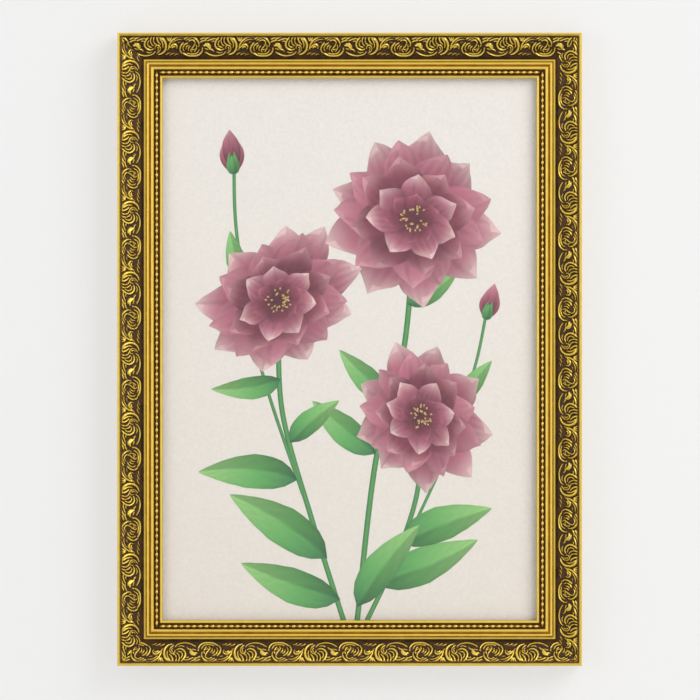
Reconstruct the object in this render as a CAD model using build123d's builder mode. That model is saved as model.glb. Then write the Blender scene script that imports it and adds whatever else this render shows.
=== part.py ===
from build123d import *
import math
import os

os.makedirs("parts", exist_ok=True)

# A gilded picture frame, its glazing, print and backing, and the fittings on its back.
# X runs across the frame and Z up it, and the front faces -Y. Every length is in mm.
# The origin is where the wall hook bears, inside the top hanger's ring.

# Picture, and what is stacked behind the lip
picture_width = 210.0
picture_height = 300.0
picture_play = 1.0
glazing_thickness = 1.5
print_thickness = 0.3
backing_thickness = 3.0
backing_recess = 0.3

# Widths across the moulding's face, from the sight edge outwards
face_width = 24.5
lip_width = 6.0
sight_edge_width = 1.4
quirk_width = 1.0
pearl_width = 1.6
hollow_width = 0.7
inner_bead_width = 1.7
bead_groove_width = 0.9
broad_bead_width = 1.4
steep_cove_width = 0.5
fillet_width = 0.9
valley_width = 1.9
top_quirk_width = 0.6
top_bead_width = 1.1
side_inset = 0.4

# Heights of the moulding's face above the top of its lip
lip_thickness = 1.5
sight_edge_rise = 1.4
channel_rise = 1.0
groove_rise = 1.6
fillet_rise = 0.5
valley_rise = 0.2
band_rise = 7.0
inner_bead_crown = 0.6
broad_bead_crown = 0.8
top_bead_crown = 0.5

# Heights and depths of the moulding's outer side, from the wall outwards
base_band_height = 2.9
base_bead_height = 2.0
side_cove_height = 3.8
side_fillet_height = 0.9
side_fillet_inset = 0.25
base_bead_inset = 0.8
base_bead_bulge = 0.6
side_cove_sag = 0.9

# Scroll strip glued on the sloping band
scroll_repeat = 37.7
strip_thickness = 0.5
strip_margin = 0.2
leaf_relief = 0.7
eye_relief = 0.5
eye_radius = 1.1
leaf_length = 4.6
leaf_width = 2.4
stem_width = 0.9
lobe_count = 3
eye_sides = 4
# Where the first scroll of a repeat is centred along each stick, from the stick's middle
scroll_centres = {"top": -27.5, "right": -1.9, "bottom": 19.1, "left": 36.4}
# Centre along the repeat and up the band, first angle in degrees, then radii and width up the band
scroll_shares = [
    (0.25, 0.52, 230, 0.20, 0.36, 0.12),
    (0.735, 0.48, 50, 0.20, 0.36, 0.12),
]
scroll_turn = -290
notch_share = 0.45
inner_edge_share = 0.5
# Root along the repeat and up the band, then the way it points in degrees
leaf_shares = [(0.50, 0.74, 75), (1.00, 0.26, 255)]

# Pearl strip in its channel
pearl_pitch = 3.33
pearl_base_thickness = 0.5
pearl_length = 2.3
pearl_height = 1.1
pearl_crown_share = 0.5

# Corner fixings, driven across each mitre from the back
v_nail_places = [14.0, 18.5]
v_nail_reach = 1.6
v_nail_spread = 3.2
v_nail_thickness = 0.5
v_nail_depth = 5.0

# Turn buttons and their screws
button_screw_u = 13.5
button_reach = 14.0
button_sides = 16
button_root_radius = 3.2
button_tip_radius = 1.9
button_thickness = 1.0
button_gap = 0.3
button_head_gap = 0.2
button_place_share = 0.55
running_fit = 0.08
screw_sides = 8
screw_shank_radius = 0.95
screw_head_radius = 2.1
screw_head_height = 1.0
screw_grip = 4.5

# Strap hangers with D rings
hanger_screw_u = 11.4
hanger_tail_u = 8.8
hinge_u = 15.5
strap_width = 7.0
strap_thickness = 0.5
strap_corner = 2.0
ring_wire_radius = 0.7
ring_wire_sides = 8
ring_half_width = 5.0
ring_leg = 3.0
ring_bend = 1.2

# Wall pads at the lower corners
pad_sides = 16
pad_radius = 4.0
pad_thickness = 3.0
pad_u = 15.0

# Sizes that follow
rebate_depth = backing_recess + backing_thickness + print_thickness + glazing_thickness
sight_width = picture_width + 2 * (picture_play - lip_width)
sight_height = picture_height + 2 * (picture_play - lip_width)
channel_end_u = sight_edge_width + quirk_width + pearl_width + hollow_width
pearl_u = sight_edge_width + quirk_width + pearl_width / 2
inner_bead_end_u = channel_end_u + inner_bead_width
broad_bead_u = inner_bead_end_u + bead_groove_width
broad_bead_end_u = broad_bead_u + broad_bead_width
fillet_u = broad_bead_end_u + steep_cove_width
fillet_end_u = fillet_u + fillet_width
band_u = fillet_end_u + valley_width
side_u = face_width - side_inset
top_bead_u = side_u - top_bead_width
band_end_u = top_bead_u - top_quirk_width
lip_top = rebate_depth + lip_thickness
channel_v = lip_top + channel_rise
groove_v = lip_top + groove_rise
fillet_v = lip_top + fillet_rise
valley_v = lip_top + valley_rise
band_end_v = lip_top + band_rise
slope_angle = math.atan2(band_end_v - valley_v, band_end_u - band_u)
slope_length = math.hypot(band_end_v - valley_v, band_end_u - band_u)
eye_bore_radius = ring_wire_radius + running_fit
eye_outer_radius = eye_bore_radius + strap_thickness
hinge_rise = eye_outer_radius
hook_u = hinge_u + ring_leg + ring_half_width - ring_wire_radius
centre = Vector(0, -hinge_rise, -(sight_height / 2 + hook_u))
forward = Vector(0, -1, 0)

# Each side: the way outwards, the way along the stick, its reach from the centre and its length
sides = {
    "top": (Vector(0, 0, 1), Vector(1, 0, 0), sight_height / 2, sight_width),
    "right": (Vector(1, 0, 0), Vector(0, 0, -1), sight_width / 2, sight_height),
    "bottom": (Vector(0, 0, -1), Vector(-1, 0, 0), sight_height / 2, sight_width),
    "left": (Vector(-1, 0, 0), Vector(0, 0, 1), sight_width / 2, sight_height),
}
button_names = {
    "top": ("top_left", "top_right"),
    "right": ("right_upper", "right_lower"),
    "bottom": ("bottom_right", "bottom_left"),
    "left": ("left_lower", "left_upper"),
}
hanger_sides = ("top", "right")


def save(made, name):
    made.part.label = name
    export_step(made.part, f"parts/{name}.step")


def place(side, u, v, s=0.0):
    # A point u outwards from the sight edge, v forward of the back and s along the stick
    outward, along, reach, _ = sides[side]
    return centre + outward * (reach + u) + forward * v + along * s


def section_plane(side):
    # Sketches here are (u, v), and are extruded along the stick
    outward, along, _, _ = sides[side]
    return Plane(origin=place(side, 0, 0), x_dir=outward, z_dir=along)


def back_plane(side, u, s, rise=0.0):
    # Sketches here start (inwards, ...), and are extruded away from the wood
    outward, _, _, _ = sides[side]
    return Plane(origin=place(side, u, -rise, s), x_dir=-outward, z_dir=-forward)


def cut_mitres(side):
    outward, along, reach, length = sides[side]
    for way in (along, -along):
        corner = place(side, 0, 0) + way * (length / 2)
        split(bisect_by=Plane(origin=corner, z_dir=way - outward), keep=Keep.BOTTOM)


def long_enough(side):
    return sides[side][3] + 2 * face_width


# The profile of the stick, from the sight edge round the back and up to the face
bead_foot_u = face_width - base_bead_inset
base_bead_v = base_band_height + base_bead_height
side_fillet_v = base_bead_v + side_cove_height
side_face_v = side_fillet_v + side_fillet_height
sight_bevel = sight_edge_rise / math.sqrt(2)
with BuildSketch() as moulding:
    with BuildLine():
        Polyline(
            (0, lip_top),
            (0, rebate_depth),
            (lip_width, rebate_depth),
            (lip_width, 0),
            (face_width, 0),
            (face_width, base_band_height),
            (bead_foot_u, base_band_height),
        )
        ThreePointArc(
            (bead_foot_u, base_band_height),
            (bead_foot_u + base_bead_bulge, base_band_height + base_bead_height / 2),
            (bead_foot_u, base_bead_v),
        )
        ThreePointArc(
            (bead_foot_u, base_bead_v),
            (bead_foot_u - side_cove_sag, base_bead_v + side_cove_height / 2),
            (bead_foot_u, side_fillet_v),
        )
        Polyline(
            (bead_foot_u, side_fillet_v),
            (side_u - side_fillet_inset, side_fillet_v),
            (side_u - side_fillet_inset, side_face_v),
            (side_u, side_face_v),
            (side_u, band_end_v),
        )
        ThreePointArc(
            (side_u, band_end_v),
            (side_u - top_bead_width / 2, band_end_v + top_bead_crown),
            (top_bead_u, band_end_v),
        )
        Polyline(
            (top_bead_u, band_end_v),
            (band_end_u, band_end_v),
            (band_u, valley_v),
            (fillet_end_u, valley_v),
            (fillet_end_u, fillet_v),
            (fillet_u, fillet_v),
        )
        ThreePointArc(
            (fillet_u, fillet_v),
            (broad_bead_end_u + steep_cove_width / 4, (fillet_v + groove_v) / 2),
            (broad_bead_end_u, groove_v),
        )
        ThreePointArc(
            (broad_bead_end_u, groove_v),
            (broad_bead_u + broad_bead_width / 2, groove_v + broad_bead_crown),
            (broad_bead_u, groove_v),
        )
        Line((broad_bead_u, groove_v), (inner_bead_end_u, groove_v))
        ThreePointArc(
            (inner_bead_end_u, groove_v),
            (channel_end_u + inner_bead_width / 2, groove_v + inner_bead_crown),
            (channel_end_u, groove_v),
        )
        Polyline(
            (channel_end_u, groove_v),
            (channel_end_u, channel_v),
            (sight_edge_width, channel_v),
            (sight_edge_width, lip_top + sight_edge_rise),
        )
        ThreePointArc(
            (sight_edge_width, lip_top + sight_edge_rise),
            (sight_edge_width - sight_bevel, lip_top + sight_bevel),
            (0, lip_top),
        )
    make_face()


# Corner fixings
with BuildPart() as v_nails:
    for outward_x, outward_z in ((1, 1), (1, -1), (-1, -1), (-1, 1)):
        corner = centre + Vector(outward_x * sight_width / 2, 0, outward_z * sight_height / 2)
        diagonal = Vector(outward_x, 0, outward_z).normalized()
        for distance in v_nail_places:
            spot = corner + diagonal * (distance * math.sqrt(2))
            with BuildSketch(Plane(origin=spot, x_dir=diagonal, z_dir=forward)):
                with BuildLine():
                    Polyline(
                        (0, 0),
                        (v_nail_reach, v_nail_spread),
                        (v_nail_reach + v_nail_thickness, v_nail_spread),
                        (v_nail_thickness, 0),
                        (v_nail_reach + v_nail_thickness, -v_nail_spread),
                        (v_nail_reach, -v_nail_spread),
                        close=True,
                    )
                make_face()
            extrude(amount=v_nail_depth)
save(v_nails, "v_nails")


def screw_spots(side):
    spread = sides[side][3] / 2 * button_place_share
    return [back_plane(side, button_screw_u, s) for s in (-spread, spread)]


def hanger_spot(side):
    return back_plane(side, hanger_screw_u, 0)


# The four mitred sticks
for side in sides:
    with BuildPart() as rail:
        with BuildSketch(section_plane(side)):
            add(moulding.sketch)
        extrude(amount=long_enough(side) / 2, both=True)
        cut_mitres(side)
        add(v_nails.part, mode=Mode.SUBTRACT)
        holes = screw_spots(side)
        if side in hanger_sides:
            holes.append(hanger_spot(side))
        for spot in holes:
            with BuildSketch(spot):
                RegularPolygon(screw_shank_radius, screw_sides)
            extrude(amount=-screw_grip, mode=Mode.SUBTRACT)
    save(rail, f"rail_{side}")


def scroll_angle(first_angle, share):
    return math.radians(first_angle + scroll_turn * share)


def scroll_point(row, share, aside):
    # A point on a scroll's spiral, moved out from it by a share of the scroll's half width
    along_share, up_share, first_angle, first_share, last_share, width_share = row
    swell = math.sqrt(math.sin(math.pi * share))
    radius = first_share + (last_share - first_share) * share + width_share * swell * aside
    angle = scroll_angle(first_angle, share)
    return (
        along_share * scroll_repeat + radius * slope_length * math.cos(angle),
        (up_share + radius * math.sin(angle)) * slope_length,
    )


def draw_scroll(row):
    # A crescent whose outer edge is cut in lobes
    steps = 2 * lobe_count
    outer = [scroll_point(row, i / steps, 1 if i % 2 else notch_share) for i in range(1, steps)]
    inner = [scroll_point(row, i / steps, -inner_edge_share) for i in range(steps - 2, 1, -2)]
    ends = [scroll_point(row, share, 0) for share in (0, 1)]
    Polygon(ends[0], *outer, ends[1], *inner, align=None)


def draw_leaf(row):
    # A pointed leaf on its root
    along_share, up_share, heading = row
    root = Vector(along_share * scroll_repeat, up_share * slope_length)
    ahead = Vector(1, 0).rotate(Axis.Z, heading)
    aside = Vector(0, 1).rotate(Axis.Z, heading)
    corners = (
        root - ahead * (leaf_length / 2),
        root - aside * (leaf_width / 2),
        root + ahead * (leaf_length / 2),
        root + aside * (leaf_width / 2),
    )
    Polygon(*[(corner.X, corner.Y) for corner in corners], align=None)


# One repeat of the scroll pattern, laid flat: along the stick and up the band
with BuildSketch() as scroll_motif:
    for row in scroll_shares:
        draw_scroll(row)
    for row in leaf_shares:
        draw_leaf(row)
    first_end, last_end = [Vector(*scroll_point(row, 1, 0)) for row in scroll_shares]
    stem_run = last_end - first_end
    with Locations((first_end + last_end) / 2):
        Rectangle(stem_run.length, stem_width, rotation=math.degrees(math.atan2(stem_run.Y, stem_run.X)))

for side in sides:
    outward, along, _, length = sides[side]
    repeats = math.ceil(long_enough(side) / scroll_repeat / 2) + 1
    first_centre = scroll_centres[side] % scroll_repeat
    repeat_starts = [
        first_centre + (i - scroll_shares[0][0]) * scroll_repeat for i in range(-repeats, repeats)
    ]
    strip_plane = Plane(
        origin=place(side, band_u, valley_v),
        x_dir=along,
        z_dir=forward * math.cos(slope_angle) - outward * math.sin(slope_angle),
    )
    with BuildPart() as ornament:
        with BuildSketch(strip_plane):
            with Locations((0, slope_length / 2)):
                Rectangle(long_enough(side), slope_length - 2 * strip_margin)
        extrude(amount=strip_thickness)
        with BuildSketch(strip_plane.offset(strip_thickness)):
            with Locations(*[(start, 0) for start in repeat_starts]):
                add(scroll_motif.sketch)
        extrude(amount=leaf_relief)
        with BuildSketch(strip_plane.offset(strip_thickness)):
            for start in repeat_starts:
                for along_share, up_share, *_ in scroll_shares:
                    with Locations((start + along_share * scroll_repeat, up_share * slope_length)):
                        RegularPolygon(eye_radius, eye_sides)
        extrude(amount=leaf_relief + eye_relief)
        cut_mitres(side)
    save(ornament, f"ornament_{side}")

# One pearl, standing on its base and narrower at its crown
crown_start = (1 - pearl_crown_share) / 2
crown_end = 1 - crown_start
with BuildPart() as pearl:
    Wedge(
        pearl_length,
        pearl_height,
        pearl_width,
        pearl_length * crown_start,
        pearl_width * crown_start,
        pearl_length * crown_end,
        pearl_width * crown_end,
        rotation=(90, 0, 0),
        align=(Align.CENTER, Align.MIN, Align.CENTER),
    )

for side in sides:
    outward, along, _, length = sides[side]
    pearls = math.floor((length + 2 * pearl_u) / pearl_pitch) - 1
    pearl_plane = Plane(
        origin=place(side, pearl_u, channel_v + pearl_base_thickness), x_dir=along, z_dir=forward
    )
    with BuildPart(pearl_plane) as pearl_strip:
        with BuildSketch(section_plane(side)):
            with Locations((pearl_u, channel_v + pearl_base_thickness / 2)):
                Rectangle(pearl_width, pearl_base_thickness)
        extrude(amount=long_enough(side) / 2, both=True)
        with GridLocations(pearl_pitch, pearl_pitch, pearls, 1):
            add(pearl.part)
        cut_mitres(side)
    save(pearl_strip, f"pearl_strip_{side}")

# The sheets behind the lip, back to front
sheets = (
    ("backing_board", backing_thickness),
    ("art_print", print_thickness),
    ("glazing", glazing_thickness),
)
sheet_v = backing_recess
for name, thickness in sheets:
    with BuildPart() as sheet:
        with BuildSketch(Plane(origin=centre + forward * sheet_v, x_dir=(1, 0, 0), z_dir=forward)):
            Rectangle(picture_width, picture_height)
        extrude(amount=thickness)
    save(sheet, name)
    sheet_v += thickness


# Pan head screws, whose shanks fill their holes in the wood
strap_double = 2 * strap_thickness
button_spots = [spot for side in sides for spot in screw_spots(side)]
screw_sets = (
    ("button_screws", button_spots, button_gap + button_thickness + button_head_gap),
    ("hanger_screws", [hanger_spot(side) for side in hanger_sides], strap_double),
)
for name, spots, head_rise in screw_sets:
    with BuildPart() as screws:
        for spot in spots:
            with BuildSketch(spot.offset(-screw_grip)):
                RegularPolygon(screw_shank_radius, screw_sides)
            extrude(amount=screw_grip + head_rise)
            with BuildSketch(spot.offset(head_rise)):
                RegularPolygon(screw_head_radius, screw_sides)
            extrude(amount=screw_head_height)
    save(screws, name)

for side in sides:
    for spot, name in zip(screw_spots(side), button_names[side]):
        with BuildPart() as turn_button:
            with BuildSketch(spot.offset(button_gap)):
                RegularPolygon(button_root_radius, button_sides)
                with Locations((button_reach - button_tip_radius, 0)):
                    RegularPolygon(button_tip_radius, button_sides)
                make_hull()
                RegularPolygon(
                    screw_shank_radius + running_fit, screw_sides, major_radius=False, mode=Mode.SUBTRACT
                )
            extrude(amount=button_thickness)
        save(turn_button, f"turn_button_{name}")

for side in hanger_sides:
    outward, along, _, _ = sides[side]
    with BuildPart() as hanger_strap:
        with BuildSketch(section_plane(side)):
            with Locations(((hanger_tail_u + hinge_u) / 2, -strap_double / 2)):
                Rectangle(hinge_u - hanger_tail_u, strap_double)
            with Locations((hinge_u, -hinge_rise)):
                Circle(eye_outer_radius)
                Circle(eye_bore_radius, mode=Mode.SUBTRACT)
        extrude(amount=strap_width / 2, both=True)
        tail = hanger_strap.edges().filter_by(Axis.Y).sort_by(Axis(origin=(0, 0, 0), direction=outward))
        fillet(tail[:2], strap_corner)
        with BuildSketch(hanger_spot(side)):
            RegularPolygon(screw_shank_radius, screw_sides)
        extrude(amount=strap_double, mode=Mode.SUBTRACT)
    save(hanger_strap, f"hanger_strap_{side}")

    hinge = place(side, hinge_u, -hinge_rise)
    bar_end = ring_half_width - ring_bend
    with BuildPart() as hanger_ring:
        with BuildSketch(Plane(origin=hinge, z_dir=along)):
            Circle(ring_wire_radius)
        extrude(amount=bar_end, both=True)
        for way in (along, -along):
            with BuildSketch(Plane(origin=hinge + way * bar_end, z_dir=way)):
                RegularPolygon(ring_wire_radius, ring_wire_sides)
            bend_centre = hinge + way * bar_end + outward * ring_bend
            revolve(axis=Axis(bend_centre, way.cross(outward)), revolution_arc=90)
            leg_foot = hinge + way * ring_half_width + outward * ring_bend
            with BuildSketch(Plane(origin=leg_foot, z_dir=outward)):
                RegularPolygon(ring_wire_radius, ring_wire_sides)
            extrude(amount=ring_leg - ring_bend)
        bow_centre = hinge + outward * ring_leg
        with BuildSketch(Plane(origin=bow_centre + along * ring_half_width, z_dir=outward)):
            RegularPolygon(ring_wire_radius, ring_wire_sides)
        revolve(axis=Axis(bow_centre, forward), revolution_arc=180)
    save(hanger_ring, f"hanger_ring_{side}")

with BuildPart() as wall_pads:
    for s in (-sight_width / 2, sight_width / 2):
        with BuildSketch(back_plane("bottom", pad_u, s)):
            RegularPolygon(pad_radius, pad_sides)
        extrude(amount=pad_thickness)
save(wall_pads, "wall_pads")
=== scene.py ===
import bmesh
import bpy
import math
import numpy as np
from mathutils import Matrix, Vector


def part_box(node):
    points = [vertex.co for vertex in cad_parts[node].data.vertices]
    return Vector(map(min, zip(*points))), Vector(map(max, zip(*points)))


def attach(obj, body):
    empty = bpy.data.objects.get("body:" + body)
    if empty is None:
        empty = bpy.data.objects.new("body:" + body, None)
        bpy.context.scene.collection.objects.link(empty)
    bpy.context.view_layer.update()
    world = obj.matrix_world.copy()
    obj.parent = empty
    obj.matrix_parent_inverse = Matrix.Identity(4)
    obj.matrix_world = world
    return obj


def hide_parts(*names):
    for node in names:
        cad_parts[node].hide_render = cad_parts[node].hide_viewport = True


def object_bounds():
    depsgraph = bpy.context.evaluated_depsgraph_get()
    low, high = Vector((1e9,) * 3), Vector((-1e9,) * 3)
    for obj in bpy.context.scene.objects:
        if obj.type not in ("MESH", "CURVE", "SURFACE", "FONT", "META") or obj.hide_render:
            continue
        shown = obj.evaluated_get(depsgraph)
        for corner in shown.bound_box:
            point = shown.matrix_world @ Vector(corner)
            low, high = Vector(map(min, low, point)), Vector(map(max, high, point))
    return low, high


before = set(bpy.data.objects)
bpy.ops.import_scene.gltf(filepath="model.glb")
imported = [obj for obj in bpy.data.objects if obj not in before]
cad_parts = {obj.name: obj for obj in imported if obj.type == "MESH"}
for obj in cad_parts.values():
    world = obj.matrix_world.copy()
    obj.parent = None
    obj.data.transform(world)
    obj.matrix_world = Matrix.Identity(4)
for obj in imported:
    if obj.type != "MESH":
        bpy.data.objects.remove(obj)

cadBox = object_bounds()
mm = 0.001

# The frame as the CAD nodes give it: its outside, its back and its face width
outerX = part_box("rail_right")[1][0]
lowZ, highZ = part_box("rail_bottom")[0][2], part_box("rail_top")[1][2]
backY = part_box("rail_top")[1][1]
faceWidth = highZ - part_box("rail_top")[0][2]
centreZ = (lowZ + highZ) / 2
sightHalfX = outerX - faceWidth
sightHalfZ = (highZ - lowZ) / 2 - faceWidth
forward = Vector((0, -1, 0))
print("frame read", outerX * 2, highZ - lowZ)

# Each stick: outwards, along it, sight edge's reach from the centre, sight length, where a scroll is centred
sticks = {
    "top": (Vector((0, 0, 1)), Vector((1, 0, 0)), sightHalfZ, 2 * sightHalfX, -27.5 * mm),
    "right": (Vector((1, 0, 0)), Vector((0, 0, -1)), sightHalfX, 2 * sightHalfZ, -1.9 * mm),
    "bottom": (Vector((0, 0, -1)), Vector((-1, 0, 0)), sightHalfZ, 2 * sightHalfX, 19.1 * mm),
    "left": (Vector((-1, 0, 0)), Vector((0, 0, 1)), sightHalfX, 2 * sightHalfZ, 36.4 * mm),
}


# Colour and node helpers
def toLinear(hexColour, alpha=1.0):
    parts = [int(hexColour[i:i + 2], 16) / 255 for i in (1, 3, 5)]
    return [p / 12.92 if p <= 0.04045 else ((p + 0.055) / 1.055) ** 2.4 for p in parts] + [alpha]


def addNode(tree, kind, settings=None, links=None):
    node = tree.nodes.new(kind)
    for name, value in (settings or {}).items():
        if isinstance(name, str) and hasattr(node, name):
            setattr(node, name, value)
        else:
            node.inputs[name].default_value = value
    for name, source in (links or {}).items():
        tree.links.new(source, node.inputs[name])
    return node


def newMaterial(name):
    material = bpy.data.materials.new(name)
    material.use_nodes = True
    material.node_tree.nodes.clear()
    return material, material.node_tree


def endMaterial(tree, shader):
    addNode(tree, "ShaderNodeOutputMaterial", {}, {"Surface": shader})


def ramp(tree, factor, stops):
    node = addNode(tree, "ShaderNodeValToRGB", {}, {"Fac": factor})
    elements = node.color_ramp.elements
    while len(elements) < len(stops):
        elements.new(0.5)
    for element, (place, colour) in zip(elements, stops):
        element.position = place
        element.color = colour if not isinstance(colour, str) else toLinear(colour)
    return node.outputs["Color"]


# Gold leaf over bole under a wiped umber glaze, with painted shade: glazeAndShade is 1 in the hollows and 0 on worn
# high places, and darkens the leaf both for the umber and for shade painted into the hollows
def gildedMaterial(name, glazeAndShadeName, stops, roughness, leafScale, dashes=False):
    material, tree = newMaterial(name)
    glazeAndShade = addNode(tree, "ShaderNodeAttribute", {"attribute_name": glazeAndShadeName}).outputs["Fac"]
    uv = addNode(tree, "ShaderNodeUVMap", {"uv_map": "stick"}).outputs["UV"]
    mottle = addNode(tree, "ShaderNodeTexNoise", {"Scale": 1 / leafScale, "Detail": 5.0}, {"Vector": uv})
    shift = addNode(tree, "ShaderNodeMath", {"operation": "MULTIPLY_ADD", 1: 0.34, 2: -0.17},
                    {0: mottle.outputs["Fac"]})
    amount = addNode(tree, "ShaderNodeMath", {"operation": "ADD", "use_clamp": True},
                     {0: glazeAndShade, 1: shift.outputs[0]})
    # the ramp runs from worn gold down to dark umber, so it paints the hollows' shade as well as their glaze
    colour = ramp(tree, amount.outputs[0], stops)
    height = mottle.outputs["Fac"]
    if dashes:  # rubbed-through streaks in the leaf, a few mm long and a tenth of one wide
        stretch = addNode(tree, "ShaderNodeMapping", {"Scale": (1 / (2.4 * mm), 1 / (0.22 * mm), 1)}, {"Vector": uv})
        streak = addNode(tree, "ShaderNodeTexNoise", {"Scale": 1.0, "Detail": 2.0}, {"Vector": stretch.outputs[0]})
        mask = ramp(tree, streak.outputs["Fac"], [(0.60, (0, 0, 0, 1)), (0.68, (1, 1, 1, 1))])
        side = addNode(tree, "ShaderNodeAttribute", {"attribute_name": "rubbed"}).outputs["Fac"]
        mask = addNode(tree, "ShaderNodeMath", {"operation": "MULTIPLY"}, {0: mask, 1: side}).outputs[0]
        mixed = addNode(tree, "ShaderNodeMix", {"data_type": "RGBA"}, {0: mask, 6: colour})
        mixed.inputs[7].default_value = toLinear("#8A5A10")
        colour = mixed.outputs[2]
    bump = addNode(tree, "ShaderNodeBump", {"Strength": 0.25, "Distance": 0.05 * mm}, {"Height": height})
    shader = addNode(tree, "ShaderNodeBsdfPrincipled", {"Metallic": 0.75, "Roughness": roughness},
                     {"Base Color": colour, "Normal": bump.outputs[0]})
    endMaterial(tree, shader.outputs[0])
    return material


railGold = gildedMaterial(
    "gold leaf over bole, burnished", "glazeAndShade",
    [(0.0, "#EED05A"), (0.35, "#DAB646"), (0.6, "#A86C1A"), (0.85, "#5A360C"), (1.0, "#2A1A0A")],
    0.30, 6 * mm, dashes=True)  # saturated yellow highs, orange-brown in the grooves from umber glaze and painted shade
scrollGold = gildedMaterial(
    "gilded composition, umber and painted shade in the ground", "glazeAndShade",
    [(0.0, "#E8CC58"), (0.28, "#BE9A34"), (0.5, "#856428"), (0.72, "#523C24"), (1.0, "#2E2018")],
    0.36, 1.1 * mm)  # worn crests, brightened further by a painted highlight, over a flat taupe ground darkened with umber and painted shade
# the pearls' ramp darkens their undersides with umber and painted shade
pearlGold = gildedMaterial(
    "gilded composition pearls", "glazeAndShade",
    [(0.0, "#F2D26A"), (0.4, "#C2922C"), (0.8, "#5A3A10"), (1.0, "#2E1E0C")], 0.30, 4 * mm)


def plainMaterial(name, hexColour, metallic, roughness, grain, variation, bumpDepth, stretch=(1, 1, 1)):
    material, tree = newMaterial(name)
    coords = addNode(tree, "ShaderNodeTexCoord").outputs["Object"]
    mapped = addNode(tree, "ShaderNodeMapping", {"Scale": stretch}, {"Vector": coords}).outputs[0]
    noise = addNode(tree, "ShaderNodeTexNoise", {"Scale": 1 / grain, "Detail": 4.0}, {"Vector": mapped})
    base = np.array(toLinear(hexColour)[:3])
    low, high = [list(np.clip(base * k, 0, 1)) + [1.0] for k in (1 - variation, 1 + variation)]
    colour = ramp(tree, noise.outputs["Fac"], [(0.3, low), (0.7, high)])
    bump = addNode(tree, "ShaderNodeBump", {"Strength": 0.4, "Distance": bumpDepth},
                   {"Height": noise.outputs["Fac"]})
    shader = addNode(tree, "ShaderNodeBsdfPrincipled", {"Metallic": metallic, "Roughness": roughness},
                     {"Base Color": colour, "Normal": bump.outputs[0]})
    endMaterial(tree, shader.outputs[0])
    return material


hardboard = plainMaterial("pressed hardboard", "#7A5434", 0.0, 0.7, 1.2 * mm, 0.18, 0.05 * mm)  # matt brown fibre
zincSteel = plainMaterial("zinc plated steel", "#C2C4C2", 1.0, 0.32, 2 * mm, 0.08, 0.01 * mm)  # pale grey spangle
hangerBrass = plainMaterial("brass plated steel", "#D2A850", 1.0, 0.28, 2 * mm, 0.08, 0.01 * mm)
wallFelt = plainMaterial("pressed wool felt", "#4A4038", 0.0, 0.95, 0.3 * mm, 0.3, 0.1 * mm)  # soft dark fuzz


def glassMaterial():  # clear float glass: only its gloss shows
    material, tree = newMaterial("clear float glass")
    shader = addNode(tree, "ShaderNodeBsdfPrincipled",
                     {"Base Color": toLinear("#F4F8F6"), "Roughness": 0.04, "IOR": 1.5, "Alpha": 0.025})
    endMaterial(tree, shader.outputs[0])
    return material


clearGlass = glassMaterial()


def bareWoodMaterial():  # pale unpainted hardwood, its grain running along each stick
    material, tree = newMaterial("unpainted pale hardwood")
    uv = addNode(tree, "ShaderNodeUVMap", {"uv_map": "stick"}).outputs["UV"]
    stretch = addNode(tree, "ShaderNodeMapping", {"Scale": (1 / (22 * mm), 1 / (0.9 * mm), 1)}, {"Vector": uv})
    grain = addNode(tree, "ShaderNodeTexNoise", {"Scale": 1.0, "Detail": 5.0, "Distortion": 0.4},
                    {"Vector": stretch.outputs[0]})
    colour = ramp(tree, grain.outputs["Fac"], [(0.3, "#A98255"), (0.5, "#C9A676"), (0.7, "#DBBE92")])
    bump = addNode(tree, "ShaderNodeBump", {"Strength": 0.4, "Distance": 0.08 * mm},
                   {"Height": grain.outputs["Fac"]})
    shader = addNode(tree, "ShaderNodeBsdfPrincipled", {"Roughness": 0.65},
                     {"Base Color": colour, "Normal": bump.outputs[0]})
    endMaterial(tree, shader.outputs[0])
    return material


bareWood = bareWoodMaterial()
print("materials made")


# Mesh helpers
def newObject(name, mesh, material):
    thing = bpy.data.objects.new(name, mesh)
    bpy.context.scene.collection.objects.link(thing)
    mesh.materials.clear()
    mesh.materials.append(material)
    return thing


def pointAttribute(mesh, name, values):
    mesh.attributes.new(name, "FLOAT", "POINT").data.foreach_set("value", np.asarray(values, dtype=np.float32))


def finishPiece(thing, nodes, body="frame", sharpAngle=35):
    thing.data.shade_smooth()
    thing.data.set_sharp_from_angle(angle=math.radians(sharpAngle))
    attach(thing, body)
    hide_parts(*nodes)


# The stick's profile. u runs outwards from the sight edge and v forwards from the back, in mm.
stick = {
    "lipWidth": 6.0, "rebateDepth": 5.1, "lipTop": 6.6, "sightEdge": 1.4, "sightTop": 8.0,
    "channelEnd": 4.7, "channelFloor": 7.6, "innerBead": 6.4, "broadBead": 7.3, "broadBeadEnd": 8.7,
    "grooveFloor": 8.2, "innerCrown": 0.6, "broadCrown": 0.8, "fillet": 9.2, "filletEnd": 10.1, "filletTop": 7.1,
    "band": 12.0, "valley": 6.8, "bandEnd": 22.4, "bandTop": 13.6, "topBead": 23.0, "side": 24.1, "topCrown": 0.5,
    "baseBand": 2.9, "baseBead": 4.9, "beadFoot": 23.7, "beadBulge": 0.6, "coveSag": 0.9, "coveTop": 8.7,
    "sideFillet": 23.85, "sideFilletTop": 9.6, "arcSteps": 10, "backInset": 0.03,
}


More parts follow.
